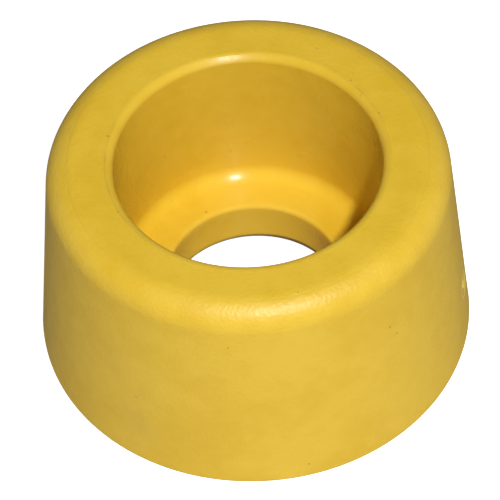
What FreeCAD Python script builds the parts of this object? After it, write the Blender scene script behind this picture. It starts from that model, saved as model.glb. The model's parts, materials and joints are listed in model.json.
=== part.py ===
import FreeCAD, Part
import math
import os

# Conical insulator / buffer for fence and gate hardware: one moulding.
# Units: millimetres. +Z is up; the origin is the centre of the flat base,
# on the axis of revolution. +X and +Y lie in the base plane.

# ---- outer cone ----
base_r = 20.0             # radius where the cone meets the base plane
height = 21.8             # base plane to flat top face
top_sharp_r = 18.05       # radius of the cone at the top, before the edge round
top_round_r = 2.7         # round between the cone and the flat top face
base_round_r = 0.3        # small round between the cone and the base plane

# ---- recess in the top face ----
recess_r = 12.1           # straight wall
mouth_w = 0.85            # rounded mouth: width, from the wall to the top face
mouth_d = 0.78            # rounded mouth: depth, from the top face down the wall
floor_z = 5.45            # recess floor above the base plane
floor_fillet_r = 1.3      # inside round between wall and floor

# ---- through hole for the fixing bolt ----
hole_r = 8.0
hole_top_round_r = 0.4    # round between recess floor and hole
hole_base_round_r = 1.8   # round between hole and base plane

# ---- gate mark: shallow round dish in the cone, where the gate was trimmed off ----
gate_angle = math.radians(-9.0)  # direction from +X; negative is towards -Y
gate_z = 6.0              # height on the cone
gate_r = 1.2              # radius where the dish meets the cone
gate_depth = 0.15         # depth below the cone, at its centre

# Half angle of the cone. The cone's normal tilts up from horizontal by the same angle.
draft = math.atan2(base_r - top_sharp_r, height)
draft_deg = math.degrees(draft)


def cone_r(z):
    """Radius of the outer cone at height z."""
    return base_r - math.tan(draft) * z


def profile_point(r, z):
    """Point of the half profile, which lies in the XZ plane."""
    return FreeCAD.Vector(r, 0.0, z)


def circle_round(centre_r, centre_z, radius, start_deg, end_deg):
    """Circular round as (start, edge, end); 0 deg is outwards, 90 is up."""
    start, middle, end = [
        profile_point(centre_r + radius * math.cos(math.radians(deg)),
                      centre_z + radius * math.sin(math.radians(deg)))
        for deg in (start_deg, (start_deg + end_deg) / 2.0, end_deg)
    ]
    return start, Part.Arc(start, middle, end).toShape(), end


def cone_round(centre_z, radius, start_deg, end_deg):
    """Round inside the cone and tangent to it, as (start, edge, end)."""
    centre_r = cone_r(centre_z) - radius / math.cos(draft)
    return circle_round(centre_r, centre_z, radius, start_deg, end_deg)


def mouth_round():
    """Quarter ellipse from the top face to the recess wall, as (start, edge, end)."""
    start = profile_point(recess_r + mouth_w, height)
    corner = profile_point(recess_r, height)
    end = profile_point(recess_r, height - mouth_d)
    curve = Part.BezierCurve()
    curve.setPoles([start, corner, end])
    # This weight on the corner pole makes the curve an exact quarter ellipse.
    curve.setWeight(2, math.sqrt(0.5))
    return start, curve.toShape(), end


def make_profile():
    """Half profile: rounds in order from the base's outer edge, joined by straight lines."""
    rounds = [
        cone_round(base_round_r, base_round_r, -90.0, draft_deg),
        cone_round(height - top_round_r, top_round_r, draft_deg, 90.0),
        mouth_round(),
        circle_round(recess_r - floor_fillet_r, floor_z + floor_fillet_r,
                     floor_fillet_r, 0.0, -90.0),
        circle_round(hole_r + hole_top_round_r, floor_z - hole_top_round_r,
                     hole_top_round_r, 90.0, 180.0),
        circle_round(hole_r + hole_base_round_r, hole_base_round_r,
                     hole_base_round_r, 180.0, 270.0),
    ]
    edges = []
    previous_end = rounds[-1][2]
    for start, edge, end in rounds:
        edges.append(Part.LineSegment(previous_end, start).toShape())
        edges.append(edge)
        previous_end = end
    return Part.Face(Part.Wire(edges))


def make_gate_dish():
    """Sphere that cuts the gate mark, centred outside the cone on its normal."""
    # Sphere radius from the dish's radius and depth.
    sphere_r = (gate_r ** 2 + gate_depth ** 2) / (2.0 * gate_depth)
    normal = FreeCAD.Vector(math.cos(gate_angle) * math.cos(draft),
                            math.sin(gate_angle) * math.cos(draft),
                            math.sin(draft))
    on_cone = FreeCAD.Vector(cone_r(gate_z) * math.cos(gate_angle),
                             cone_r(gate_z) * math.sin(gate_angle),
                             gate_z)
    return Part.makeSphere(sphere_r, on_cone + normal * (sphere_r - gate_depth))


def make_insulator_body():
    """Revolved moulding with the gate mark cut into its cone."""
    axis_point = FreeCAD.Vector(0, 0, 0)
    axis = FreeCAD.Vector(0, 0, 1)
    body = make_profile().revolve(axis_point, axis, 360.0)
    return body.cut(make_gate_dish()).Solids[0]


os.makedirs("parts", exist_ok=True)
make_insulator_body().exportStep("parts/insulator_body.step")
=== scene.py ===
"""A moulded yellow plastic insulator body: a tapered round block with a bolt hole and a deep
head recess. It stands on z = 0 round the Z axis, recess upwards; the camera is on the -Y side.
"""
import json
import math

import bpy
import numpy as np
from mathutils import Matrix, Vector


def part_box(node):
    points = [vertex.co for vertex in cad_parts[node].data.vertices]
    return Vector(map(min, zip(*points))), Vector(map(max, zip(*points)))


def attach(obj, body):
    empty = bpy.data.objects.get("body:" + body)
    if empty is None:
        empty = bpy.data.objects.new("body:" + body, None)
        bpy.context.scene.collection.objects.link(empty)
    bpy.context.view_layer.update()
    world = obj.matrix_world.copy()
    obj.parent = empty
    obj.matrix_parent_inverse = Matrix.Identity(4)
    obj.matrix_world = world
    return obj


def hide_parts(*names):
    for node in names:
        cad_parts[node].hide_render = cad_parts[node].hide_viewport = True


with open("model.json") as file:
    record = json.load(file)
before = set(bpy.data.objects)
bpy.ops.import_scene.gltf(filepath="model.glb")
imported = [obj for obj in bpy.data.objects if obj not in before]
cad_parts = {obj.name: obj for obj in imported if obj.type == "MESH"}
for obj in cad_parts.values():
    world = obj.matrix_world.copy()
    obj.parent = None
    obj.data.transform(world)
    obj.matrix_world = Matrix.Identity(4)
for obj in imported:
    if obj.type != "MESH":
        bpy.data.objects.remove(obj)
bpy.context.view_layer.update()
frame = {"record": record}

MM = 0.001
NODE = "insulator_body"
node_lo, node_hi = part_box(NODE)
mounts = {mount["name"]: mount for mount in frame["record"]["mounts"]}

# ---------------------------------------------------------------- dimensions (mm)
HEIGHT = (node_hi.z - node_lo.z) / MM
HOLE_R = mounts["bolt_hole"]["dims"]["r_mm"]
RECESS_R = mounts["head_recess"]["dims"]["r_mm"]
FLOOR_Z = mounts["seat_face"]["pos_m"][2] / MM      # floor of the recess
BASE_R = 20.0
TOP_SHARP_R = 18.05      # where the cone would meet the top plane
DRAFT = math.atan2(BASE_R - TOP_SHARP_R, HEIGHT)
TOP_EDGE_R = 2.7
BASE_EDGE_R = 0.3
FLOOR_FILLET_R = 1.3
HOLE_TOP_EDGE_R = 0.4
HOLE_BOTTOM_EDGE_R = 1.8

# elliptical round at the mouth of the recess
MOUTH_EDGE_W = 0.85
MOUTH_EDGE_D = 0.78
MOUTH_R = RECESS_R + MOUTH_EDGE_W
MOUTH_FOOT_Z = HEIGHT - MOUTH_EDGE_D
LIP_FINISH_R = 12.60     # the turned finish starts here

RING_R = 16.25           # fine ring on the top, where two mould inserts meet
WITNESS_R = 12.80        # witness line of the core pin, in the mouth round

GATE_ANGLE = math.radians(-9.0)
GATE_Z = 6.0
GATE_R = 1.2
GATE_DEPTH = 0.15
GATE_PATCH = 1.8         # half width of the finer mesh round the gate mark

# profile stations: offsets from the two fine lines, radii between them, depths below the mouth
RING_STEPS = (0.16, 0.11, 0.07, 0.04, 0.02, 0.0, -0.02, -0.04, -0.07, -0.11, -0.16)
WITNESS_STEPS = (0.12, 0.085, 0.055, 0.03, 0.0, -0.03, -0.055, -0.085, -0.12, -0.17)
TOP_RADII = (15.9, 15.7, 15.45, 15.1, 14.7, 14.3, 13.9, 13.55, 13.3, 13.12)
WALL_STEPS = (0.06, 0.14, 0.28, 0.5)

# ---------------------------------------------------------------- profile
UNDER, OUTER, TOP, MOUTH, INNER = range(5)


def cone_r(z):
    return BASE_R - math.tan(DRAFT) * z


def mouth_z(r):
    return HEIGHT - MOUTH_EDGE_D * (1 - math.sqrt(1 - ((MOUTH_R - r) / MOUTH_EDGE_W) ** 2))


def build_profile():
    """Closed loop of (r, z, region): from the hole's lower edge out along the base, up the
    cone, in over the top, then down the recess and the hole."""
    points = []

    def add(r, z, region):
        points.append((r, z, region))

    def add_arc(centre_r, centre_z, radius, start, end, steps, region, last=True):
        for i in range(steps + 1 if last else steps):
            a = math.radians(start + (end - start) * i / steps)
            add(centre_r + radius * math.cos(a), centre_z + radius * math.sin(a), region)

    draft_deg = math.degrees(DRAFT)
    base_edge_r = cone_r(BASE_EDGE_R) - BASE_EDGE_R / math.cos(DRAFT)
    top_edge_z = HEIGHT - TOP_EDGE_R
    top_edge_r = cone_r(top_edge_z) - TOP_EDGE_R / math.cos(DRAFT)

    def add_top(r):
        """A point on the top, on the edge round or on the flat."""
        if r <= top_edge_r:
            z = HEIGHT
        else:
            z = top_edge_z + math.sqrt(TOP_EDGE_R ** 2 - (r - top_edge_r) ** 2)
        add(r, z, TOP)

    # base plane and its edge
    for r in np.linspace(HOLE_R + HOLE_BOTTOM_EDGE_R, base_edge_r, 12)[:-1]:
        add(r, 0.0, UNDER)
    add_arc(base_edge_r, BASE_EDGE_R, BASE_EDGE_R, -90, draft_deg, 6, OUTER)

    # cone: evenly spaced rings, closer together round the gate mark
    cone_low = BASE_EDGE_R + BASE_EDGE_R * math.sin(DRAFT)
    cone_high = top_edge_z + TOP_EDGE_R * math.sin(DRAFT)
    coarse = [z for z in np.linspace(cone_low, cone_high, 34)[1:-1]
              if abs(z - GATE_Z) > GATE_PATCH + 0.1]
    fine = list(np.linspace(GATE_Z - GATE_PATCH, GATE_Z + GATE_PATCH, 41))
    for z in sorted(coarse + fine):
        add(cone_r(z), z, OUTER)

    # top: the edge round stops just outside the insert ring
    round_end = math.degrees(math.acos((RING_R + 0.22 - top_edge_r) / TOP_EDGE_R))
    add_arc(top_edge_r, top_edge_z, TOP_EDGE_R, draft_deg, round_end, 22, OUTER)
    for step in RING_STEPS:
        add_top(RING_R + step)
    for r in TOP_RADII:
        add_top(r)

    # mouth round, with fine steps at the witness line
    add(MOUTH_R, HEIGHT, MOUTH)
    for step in WITNESS_STEPS:
        add(WITNESS_R + step, mouth_z(WITNESS_R + step), MOUTH)
    start = math.asin((MOUTH_R - WITNESS_R - WITNESS_STEPS[-1]) / MOUTH_EDGE_W) + math.radians(5.0)
    for a in np.linspace(start, math.pi / 2, 15):
        add(MOUTH_R - MOUTH_EDGE_W * math.sin(a), HEIGHT - MOUTH_EDGE_D * (1 - math.cos(a)), MOUTH)

    # straight wall, floor fillet, floor
    for step in WALL_STEPS:
        add(RECESS_R, MOUTH_FOOT_Z - step, INNER)
    fillet_r = RECESS_R - FLOOR_FILLET_R
    fillet_z = FLOOR_Z + FLOOR_FILLET_R
    for z in np.linspace(MOUTH_FOOT_Z - WALL_STEPS[-1], fillet_z, 14)[1:-1]:
        add(RECESS_R, z, INNER)
    add_arc(fillet_r, fillet_z, FLOOR_FILLET_R, 0, -90, 16, INNER)
    for r in np.linspace(fillet_r, HOLE_R + HOLE_TOP_EDGE_R, 7)[1:-1]:
        add(r, FLOOR_Z, INNER)

    # hole
    hole_top_z = FLOOR_Z - HOLE_TOP_EDGE_R
    add_arc(HOLE_R + HOLE_TOP_EDGE_R, hole_top_z, HOLE_TOP_EDGE_R, 90, 180, 8, INNER)
    for z in np.linspace(hole_top_z, HOLE_BOTTOM_EDGE_R, 6)[1:-1]:
        add(HOLE_R, z, INNER)
    add_arc(HOLE_R + HOLE_BOTTOM_EDGE_R, HOLE_BOTTOM_EDGE_R, HOLE_BOTTOM_EDGE_R,
            180, 270, 18, INNER, last=False)
    return points


# Profile values are columns and angles are rows, so that they combine into a grid.
profile = np.array(build_profile())
radius, level = profile[:, 0:1], profile[:, 1:2]
region = profile[:, 2:3].astype(int)

# outward normals, by central difference round the closed loop
tangent = np.roll(profile[:, :2], -1, 0) - np.roll(profile[:, :2], 1, 0)
tangent /= np.linalg.norm(tangent, axis=1)[:, None]
normal_r, normal_z = tangent[:, 1:2], -tangent[:, 0:1]

# angles: dense across the gate mark, even over the rest of the turn
gate_angles = np.linspace(-GATE_PATCH, GATE_PATCH, 45) / cone_r(GATE_Z) + GATE_ANGLE
rest_span = (gate_angles[0] + 2 * math.pi) - gate_angles[-1]
rest_angles = gate_angles[-1] + rest_span * np.arange(1, 384) / 384
angle = np.concatenate([gate_angles, rest_angles])[None, :]
GRID = (len(profile), angle.size)


# ---------------------------------------------------------------- surface marks
def bell(distance, width):
    return np.exp(-(distance / width) ** 2)


def rise(distance, width):
    """0 up to distance 0, climbing straight to 1 at the width."""
    return np.clip(distance / width, 0, 1)


def around(deg, width):
    """1 at an angle in degrees, falling smoothly to 0 over the width on either side."""
    return bell((angle - math.radians(deg) + math.pi) % (2 * math.pi) - math.pi,
                math.radians(width))


def arcs(table):
    return sum(weight * around(deg, width) for weight, deg, width in table)


# uneven cooling, as shallow sinks: depth, waves round the body, twist per mm of height, phase
SINKS = ((0.010, 3, 0.12, 0.7), (0.008, 7, -0.31, 1.9))
SINK_SHARE = np.array((0.0, 1.0, 1.0, 0.3, 0.3))     # by region
# where the two fine lines are deepest: weight, angle and width in degrees
RING_ARCS = ((1.0, 176, 34), (1.0, 20, 26), (0.4, -60, 40))
WITNESS_ARCS = ((1.0, 33, 17), (0.8, 178, 22), (0.45, -150, 30))
RING_DEPTH, RING_W, RING_GRIME_W = 0.018, 0.06, 0.09
WITNESS_DEPTH, WITNESS_W, WITNESS_GRIME_W = 0.022, 0.065, 0.11
# stains on the cone: weight, angle and width in degrees, height and half height in mm
STAINS = ((1.0, -125, 5.5, 5.5, 3.6), (0.6, -133, 4.0, 11.0, 2.2))

near_top = level > HEIGHT - 0.3
push = np.zeros(GRID)    # offset along the normal (mm)
sink_share = SINK_SHARE[region] * rise(level, 1.5)
for depth, waves, twist, phase in SINKS:
    push += -depth * sink_share * (1 + np.sin(waves * angle + twist * level + phase)) / 2

# insert ring, deeper towards the left and right
ring_mod = 0.25 + 0.75 * arcs(RING_ARCS)
ring_mod *= 0.85 + 0.15 * np.sin(9 * angle + 1.0)
push += -RING_DEPTH * np.clip(ring_mod, 0.1, 1.2) * bell(radius - RING_R, RING_W) * near_top

# witness line, widest open on the right and left
witness_mod = 0.12 + arcs(WITNESS_ARCS)
witness_mod *= 0.8 + 0.2 * np.sin(23 * angle) + 0.2 * np.sin(41 * angle + 2.0)
push += (-WITNESS_DEPTH * np.clip(witness_mod, 0.05, 1.3)
         * bell(radius - WITNESS_R, WITNESS_W) * near_top)
# the core pin sat a hair low on the right, so the lip steps down there
push += (-0.022 * around(30, 24) * (region == MOUTH)
         * rise(WITNESS_R - radius, 0.06) * rise(level - (HEIGHT - 0.70), 0.3))

# gate mark: a shallow round dish with the torn stub of the gate left standing in it
gate_across = (angle - GATE_ANGLE) * cone_r(GATE_Z)
gate_up = (level - GATE_Z) / math.cos(DRAFT)
gate_dist = np.hypot(gate_across, gate_up)
near_gate = (region == OUTER) & (level > 1.0) & (level < 12.0)
dish_r = (GATE_R ** 2 + GATE_DEPTH ** 2) / (2 * GATE_DEPTH)
dish = np.sqrt(np.maximum(dish_r ** 2 - gate_dist ** 2, 0)) - (dish_r - GATE_DEPTH)
dish = np.clip(dish, 0, None)
rng = np.random.RandomState(7)
tearing = np.zeros(GRID)
for frequency in (4.3, 7.1, 11.7, 16.9):
    for _ in range(3):
        a = rng.uniform(0, 2 * math.pi)
        wave = frequency * (gate_across * math.cos(a) + gate_up * math.sin(a))
        tearing += np.sin(wave + rng.uniform(0, 6.28)) / frequency
stub = np.exp(-(((gate_across - 0.02) / 0.46) ** 2 + ((gate_up + 0.05) / 0.40) ** 2) ** 3)
gate_rim = bell(gate_dist - GATE_R - 0.05, 0.09)
gate_push = -dish + 0.17 * stub * (1 + 0.5 * tearing) + 0.022 * gate_rim * (1 + 0.6 * tearing)
push += np.where(near_gate, gate_push, 0.0)

# per-point marks that the materials read
grime = 0.30 * np.clip(ring_mod, 0, 1.2) * bell(radius - RING_R, RING_GRIME_W) * near_top
grime = grime + (0.62 * np.clip(witness_mod, 0, 1.2)
                 * bell(radius - WITNESS_R, WITNESS_GRIME_W) * near_top)
stain = (region == OUTER) * sum(
    weight * around(deg, width) * bell(level - z, half_height)
    for weight, deg, width, z, half_height in STAINS)
# painted shade low in the hole, on the lower edge round where it meets what it stands on, reaching
# higher at the far right
hole_shade_top = 1.08 + 0.60 * around(38, 48)
in_hole = (region == INNER) & (radius < HOLE_R + HOLE_BOTTOM_EDGE_R + 0.01)
hole_rim = (level > FLOOR_Z - 0.6) & (level < FLOOR_Z + 0.1)
marks = {
    "grime": grime,
    "stain": stain,
    "torn": np.where(near_gate, np.clip(stub + gate_rim, 0, 1), 0.0),
    "rim_soft": bell(radius - (HOLE_R + 0.15), 0.35) * hole_rim,
    "lip": (region == MOUTH) * rise(level - MOUTH_FOOT_Z, 0.3),
    "foot": in_hole * rise(hole_shade_top + 0.12 - level, 0.24),
}


# ---------------------------------------------------------------- meshes
def new_object(name, verts, faces):
    mesh = bpy.data.meshes.new(name)
    mesh.from_pydata(verts, [], faces)
    mesh.validate()
    mesh.update()
    obj = bpy.data.objects.new(name, mesh)
    bpy.context.scene.collection.objects.link(obj)
    return obj


def band_material(i, following):
    """Slot of the band between two profile points: 0 textured, 1 turned, 2 base face."""
    pair = (region[i, 0], region[following, 0])
    if INNER in pair or (pair == (MOUTH, MOUTH) and radius[i, 0] <= LIP_FINISH_R):
        return 1
    return 2 if pair == (UNDER, UNDER) else 0


def build_moulding():
    rings, turns = GRID
    r = radius + normal_r * push
    z = level + normal_z * push
    verts = np.stack([r * np.cos(angle) * MM, r * np.sin(angle) * MM, z * MM], -1)
    faces = []
    slots = []
    for i in range(rings):
        following = (i + 1) % rings
        a, b = i * turns, following * turns
        for j in range(turns):
            k = (j + 1) % turns
            faces.append((a + j, a + k, b + k, b + j))
        slots += [band_material(i, following)] * turns

    obj = new_object("insulator_moulding", verts.reshape(-1, 3).tolist(), faces)
    mesh = obj.data
    mesh.polygons.foreach_set("material_index", np.array(slots, np.int32))
    mesh.polygons.foreach_set("use_smooth", np.ones(len(faces), bool))
    for name, values in marks.items():
        layer = mesh.attributes.new(name=name, type="FLOAT", domain="POINT")
        flat = np.broadcast_to(values, GRID).reshape(-1)
        layer.data.foreach_set("value", np.ascontiguousarray(flat, np.float32))
    mesh.update()
    return obj


moulding = build_moulding()


# ---------------------------------------------------------------- node helpers
class Nodes:
    """Short ways to add nodes to one tree; an input is a socket to link or a value."""

    def __init__(self, tree):
        self.tree = tree

    def feed(self, node, inputs):
        for key, value in inputs.items():
            if isinstance(value, bpy.types.NodeSocket):
                self.tree.links.new(value, node.inputs[key])
            else:
                node.inputs[key].default_value = value

    def new(self, kind, inputs=None, **settings):
        node = self.tree.nodes.new("ShaderNode" + kind)
        for key, value in settings.items():
            setattr(node, key, value)
        self.feed(node, inputs or {})
        return node

    def noise(self, coords, scale, detail=2.0, roughness=0.5):
        return self.new("TexNoise", {"Scale": scale, "Detail": detail, "Roughness": roughness,
                                     "Vector": coords}).outputs["Fac"]

    def ramp(self, value, span, to=(0.0, 1.0)):
        """Smooth step from to[0] to to[1] as the value crosses the span."""
        return self.new("MapRange", {"From Min": span[0], "From Max": span[1],
                                     "To Min": to[0], "To Max": to[1], "Value": value},
                        interpolation_type="SMOOTHSTEP").outputs["Result"]

    def mix(self, factor, first, second):
        # 6, 7 and output 2 are the colour sockets
        return self.new("Mix", {0: factor, 6: first, 7: second}, data_type="RGBA").outputs[2]

    def math(self, operation, first, second=None, clamp=False):
        inputs = {0: first} if second is None else {0: first, 1: second}
        return self.new("Math", inputs, operation=operation, use_clamp=clamp).outputs[0]

    def plus(self, first, second):
        return self.math("ADD", first, second)

    def times(self, first, second):
        return self.math("MULTIPLY", first, second)

    def attribute(self, name):
        return self.new("Attribute", attribute_name=name).outputs["Fac"]

    def separate(self, vector):
        return self.new("SeparateXYZ", {0: vector}).outputs


def new_material(name):
    """A material, its node helper, its Principled shader and its output node."""
    material = bpy.data.materials.new(name)
    material.use_nodes = True
    material.node_tree.nodes.clear()
    g = Nodes(material.node_tree)
    output = g.new("OutputMaterial")
    bsdf = g.new("BsdfPrincipled")
    g.feed(output, {"Surface": bsdf.outputs["BSDF"]})
    return material, g, bsdf, output


# ---------------------------------------------------------------- plastic
YELLOW_DEEP = (0.735, 0.470, 0.028, 1.0)
YELLOW_PALE = (0.785, 0.520, 0.042, 1.0)
BROWN = (0.16, 0.10, 0.03, 1.0)
OCHRE = (0.50, 0.33, 0.06, 1.0)
TORN_PALE = (0.93, 0.78, 0.30, 1.0)

# single dark specks moulded into the surface or stuck to it: x, y, z, radius (mm)
SPECKS_OUT = (
    (-12.44, 3.53, 21.80, 0.13), (-11.70, -5.43, 21.79, 0.09), (6.88, 12.78, 21.80, 0.09),
    (9.76, 8.65, 21.80, 0.10), (12.03, 4.50, 21.79, 0.09),
    (3.72, -15.57, 21.77, 0.09), (11.73, -14.53, 14.80, 0.13), (12.36, -14.16, 13.41, 0.11),
    (-2.62, -18.22, 17.82, 0.10), (-11.15, -15.71, 8.19, 0.10), (4.01, -19.44, 1.72, 0.11))
SPECKS_IN = (
    (10.55, 6.85, 21.70, 0.12), (-4.17, 7.67, 5.45, 0.12), (-7.66, 9.43, 11.65, 0.09),
    (-1.52, 12.05, 8.93, 0.09), (11.83, 2.79, 20.74, 0.09))
SPECKS_BASE = ((-12.6, 5.1, 0.0, 0.12), (9.3, -11.8, 0.0, 0.10), (3.2, 14.9, 0.0, 0.10))


def placed_specks(g, coords, specks):
    """Sum of small soft-edged irregular dots at given places."""
    wobble = g.math("SUBTRACT", g.noise(coords, scale=9000.0, detail=1.0), 0.5)
    wobble = g.times(wobble, 0.12 * MM)
    total = None
    for x, y, z, r in specks:
        distance = g.new("VectorMath", {0: coords, 1: (x * MM, y * MM, z * MM)},
                         operation="DISTANCE").outputs["Value"]
        dot = g.ramp(g.plus(distance, wobble), span=(r * 1.35 * MM, r * 0.35 * MM))
        total = dot if total is None else g.math("ADD", total, dot, clamp=True)
    return total


def scattered_specks(g, coords):
    """Dots in a few cells of a Voronoi pattern, picked by the cell's random colour."""
    cells = g.new("TexVoronoi", {"Scale": 420.0, "Randomness": 1.0, "Vector": coords},
                  feature="F1")
    near = g.ramp(cells.outputs["Distance"], span=(0.040, 0.014))
    red = g.new("SeparateColor", {"Color": cells.outputs["Color"]}).outputs[0]
    return g.times(near, g.ramp(red, span=(0.90, 0.99), to=(0.0, 0.35)))


def plastic_color(g, coords, specks, textured):
    # slow colour drift of the pigment, and a finer cloudiness
    drift = g.noise(coords, scale=95.0, detail=3.0, roughness=0.55)
    cloud = g.noise(coords, scale=620.0)
    tone = g.plus(g.times(drift, 0.7), g.times(cloud, 0.3))
    color = g.mix(g.ramp(tone, span=(0.36, 0.64)), YELLOW_DEEP, YELLOW_PALE)
    # grime in the fine lines, a faint stain outside, painted shade along the hole's lower edge
    color = g.mix(g.times(g.attribute("grime"), 0.75), color, OCHRE)
    blotches = g.noise(coords, scale=420.0, detail=3.0, roughness=0.6)
    blotches = g.ramp(blotches, span=(0.3, 0.7), to=(0.10, 0.26))
    color = g.mix(g.times(g.attribute("stain"), blotches), color, OCHRE)
    # painted shade: brown along the hole's lower edge round, thicker at the far right
    color = g.mix(g.times(g.attribute("foot"), 0.85), color, BROWN)
    if textured:
        color = g.mix(g.times(g.attribute("torn"), 0.75), color, TORN_PALE)
    placed = g.times(placed_specks(g, coords, specks), 0.50)
    return g.mix(g.math("MAXIMUM", placed, scattered_specks(g, coords)), color, BROWN)


def bump(g, height, strength, distance):
    return g.new("Bump", {"Strength": strength, "Distance": distance,
                          "Height": height}).outputs["Normal"]


def grained_finish(g, bsdf, coords):
    """Spark-eroded grain: small rounded pits over finer and coarser noise."""
    pits = g.new("TexVoronoi", {"Scale": 3000.0, "Smoothness": 0.6, "Randomness": 1.0,
                                "Vector": coords}, feature="SMOOTH_F1").outputs["Distance"]
    grain = g.noise(coords, scale=5200.0, roughness=0.55)
    coarse = g.noise(coords, scale=1500.0, detail=1.0)
    height = g.plus(g.times(pits, 1.1), g.plus(g.times(grain, 0.5), g.times(coarse, 0.35)))
    g.feed(bsdf, {
        "Normal": bump(g, height, strength=1.0, distance=0.000022),
        "Roughness": g.ramp(g.noise(coords, scale=700.0), span=(0.3, 0.7), to=(0.41, 0.49))})


def turned_finish(g, bsdf, coords):
    """Fine rings round the axis, so the shine is drawn out along the profile."""
    x, y, z = g.separate(coords)
    axis_distance = g.math("SQRT", g.plus(g.times(x, x), g.times(y, y)))
    along = g.new("CombineXYZ", {0: g.math("SUBTRACT", z, axis_distance)}).outputs[0]
    rings = g.noise(along, scale=1300.0, detail=1.0)
    soft = g.attribute("rim_soft")
    lip = g.attribute("lip")
    stretch = g.ramp(lip, span=(0.0, 1.0), to=(0.96, 0.91))
    # the lip is rubbed in short patches round its length, where the pin was stoned by hand
    roughness = g.ramp(g.noise(coords, scale=210.0), span=(0.3, 0.7), to=(0.26, 0.30))
    patches = g.noise(coords, scale=1800.0, roughness=0.6)
    patches = g.ramp(patches, span=(0.35, 0.65), to=(0.10, 0.22))
    roughness = g.plus(roughness, g.times(lip, patches))
    g.feed(bsdf, {
        "Normal": bump(g, rings, strength=0.5, distance=0.000003),
        "Tangent": g.new("Tangent", direction_type="RADIAL", axis="Z").outputs["Tangent"],
        "Anisotropic Rotation": 0.25,
        "Specular IOR Level": g.ramp(lip, span=(0.0, 1.0), to=(0.32, 0.72)),
        "Anisotropic": g.math("SUBTRACT", stretch, soft, clamp=True),
        "Roughness": g.plus(roughness, g.times(soft, 0.50))})


def plastic(name, specks, textured=False):
    material, g, bsdf, _ = new_material(name)
    coords = g.new("TexCoord").outputs["Object"]
    g.feed(bsdf, {"Base Color": plastic_color(g, coords, specks, textured), "IOR": 1.49})
    finish = grained_finish if textured else turned_finish
    finish(g, bsdf, coords)
    return material


moulding.data.materials.append(plastic("plastic_textured", SPECKS_OUT, textured=True))
moulding.data.materials.append(plastic("plastic_turned", SPECKS_IN))
moulding.data.materials.append(plastic("plastic_base_face", SPECKS_BASE))

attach(moulding, "root")
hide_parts(NODE)

# ---------------------------------------------------------------- floor
FLOOR_HALF = 3.0         # metres
FLOOR_DROP = 0.03 * MM   # keeps the floor clear of the base face
FLOOR_WHITE = (0.64, 0.64, 0.635, 1.0)
FLOOR_MIRRORED = (0.16, 0.16, 0.16, 1.0)    # darker where the plastic reflects it
BACKDROP = 0.96          # brightness of floor glow and world as the camera sees them


def floor_material():
    material, g, bsdf, output = new_material("floor_white")
    rays = g.new("LightPath").outputs
    glow = g.new("Emission", {"Color": (1, 1, 1, 1),
                              "Strength": g.times(rays["Is Camera Ray"], BACKDROP)})
    g.feed(bsdf, {"Base Color": FLOOR_WHITE, "Roughness": 0.85})
    g.feed(bsdf, {"Base Color": g.mix(rays["Is Glossy Ray"], FLOOR_WHITE, FLOOR_MIRRORED)})
    both = g.new("AddShader", {0: bsdf.outputs[0], 1: glow.outputs[0]})
    g.feed(output, {"Surface": both.outputs[0]})
    return material


corners = [(x * FLOOR_HALF, y * FLOOR_HALF, 0) for x, y in ((-1, -1), (1, -1), (1, 1), (-1, 1))]
floor = new_object("floor", corners, [(0, 1, 2, 3)])
floor.location.z = -FLOOR_DROP
floor.data.materials.append(floor_material())

# ---------------------------------------------------------------- light
# a small studio: low panels left, right and faintly behind, a higher panel in front, dark overhead
LOW_SIDE, LOW_FRONT, LOW_BACK, MID_FRONT = 0.60, 0.02, 0.30, 0.75
scene = bpy.context.scene


def build_world():
    world = bpy.data.worlds.new("world")
    scene.world = world
    world.use_nodes = True
    g = Nodes(world.node_tree)
    x, y, z = g.separate(g.new("TexCoord").outputs["Generated"])
    y_squared = g.math("MAXIMUM", g.times(y, y), 0.000001)
    level_length = g.math("SQRT", g.plus(g.times(x, x), y_squared))
    # 1 towards the camera's side, -1 behind the body
    front = g.math("DIVIDE", g.times(y, -1.0), level_length)
    low = g.times(
        g.math("MINIMUM", g.ramp(front, span=(0.60, 0.80), to=(LOW_SIDE, LOW_FRONT)),
               g.ramp(front, span=(-0.80, -0.60), to=(LOW_BACK, LOW_SIDE))),
        g.ramp(z, span=(0.30, 0.45), to=(1.0, 0.0)))
    mid = g.times(
        g.ramp(front, span=(0.60, 0.80), to=(0.0, MID_FRONT)),
        g.times(g.ramp(z, span=(0.30, 0.45)), g.ramp(z, span=(0.75, 0.88), to=(1.0, 0.0))))
    # the camera itself sees a plain pale backdrop
    seen = g.new("LightPath").outputs["Is Camera Ray"]
    panels = g.times(g.plus(low, mid), g.math("SUBTRACT", 1.0, seen))
    g.feed(world.node_tree.nodes["Background"], {
        "Color": (1.0, 1.0, 1.0, 1), "Strength": g.plus(panels, g.times(seen, BACKDROP))})


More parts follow.
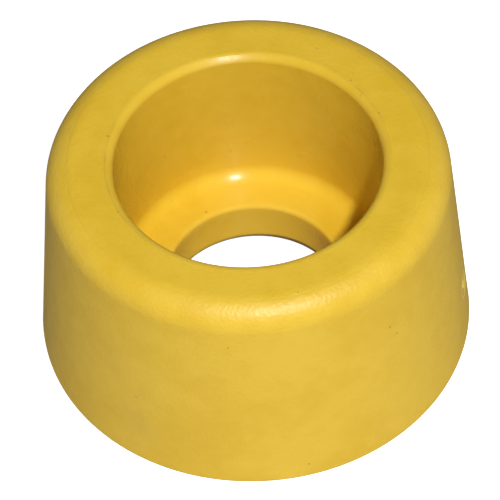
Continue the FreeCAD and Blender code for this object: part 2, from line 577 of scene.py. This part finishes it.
def disk_light(name, azimuth, elevation, distance, size, power):
    """Aimed 10 mm above the base. Azimuth 0 is the camera's side (-Y), positive towards +X."""
    a, e = math.radians(azimuth), math.radians(elevation)
    away = Vector((math.sin(a) * math.cos(e), -math.cos(a) * math.cos(e), math.sin(e)))
    data = bpy.data.lights.new(name, "AREA")
    data.shape = "DISK"
    data.size = size
    data.energy = power
    light = bpy.data.objects.new(name, data)
    light.location = Vector((0, 0, 0.010)) + away * distance
    light.rotation_mode = "QUATERNION"
    light.rotation_quaternion = (-away).to_track_quat("-Z", "Y")
    light.visible_camera = False
    scene.collection.objects.link(light)


build_world()
disk_light("key", azimuth=13.0, elevation=56.0, distance=0.60, size=0.03, power=3.36)

# ---------------------------------------------------------------- camera
CAMERA_DISTANCE = 357.568 * MM    # from the origin
CAMERA_ELEVATION = 0.9004         # radians
CAMERA_ROLL = -0.0561             # radians
CAMERA_TARGET = Vector((-0.248 * MM, 0.0, 8.846 * MM))
CAMERA_LENS = 274.66056           # mm, on a 36 mm sensor


def build_camera():
    place = Vector((0.0, -CAMERA_DISTANCE * math.cos(CAMERA_ELEVATION),
                    CAMERA_DISTANCE * math.sin(CAMERA_ELEVATION)))
    forward = (CAMERA_TARGET - place).normalized()
    right = forward.cross(Vector((0, 0, 1))).normalized()
    up = right.cross(forward)
    cos_roll, sin_roll = math.cos(CAMERA_ROLL), math.sin(CAMERA_ROLL)
    rolled_right = cos_roll * right + sin_roll * up
    rolled_up = -sin_roll * right + cos_roll * up
    data = bpy.data.cameras.new("camera")
    data.sensor_width = 36.0
    data.lens = CAMERA_LENS
    data.clip_start = 0.01
    data.clip_end = 20.0
    camera = bpy.data.objects.new("camera", data)
    camera.matrix_world = Matrix((*zip(rolled_right, rolled_up, -forward, place), (0, 0, 0, 1)))
    scene.collection.objects.link(camera)
    scene.camera = camera


build_camera()
scene.view_settings.view_transform = "Standard"
scene.view_settings.look = "None"
scene.view_settings.exposure = 0.0
scene.view_settings.gamma = 1.0
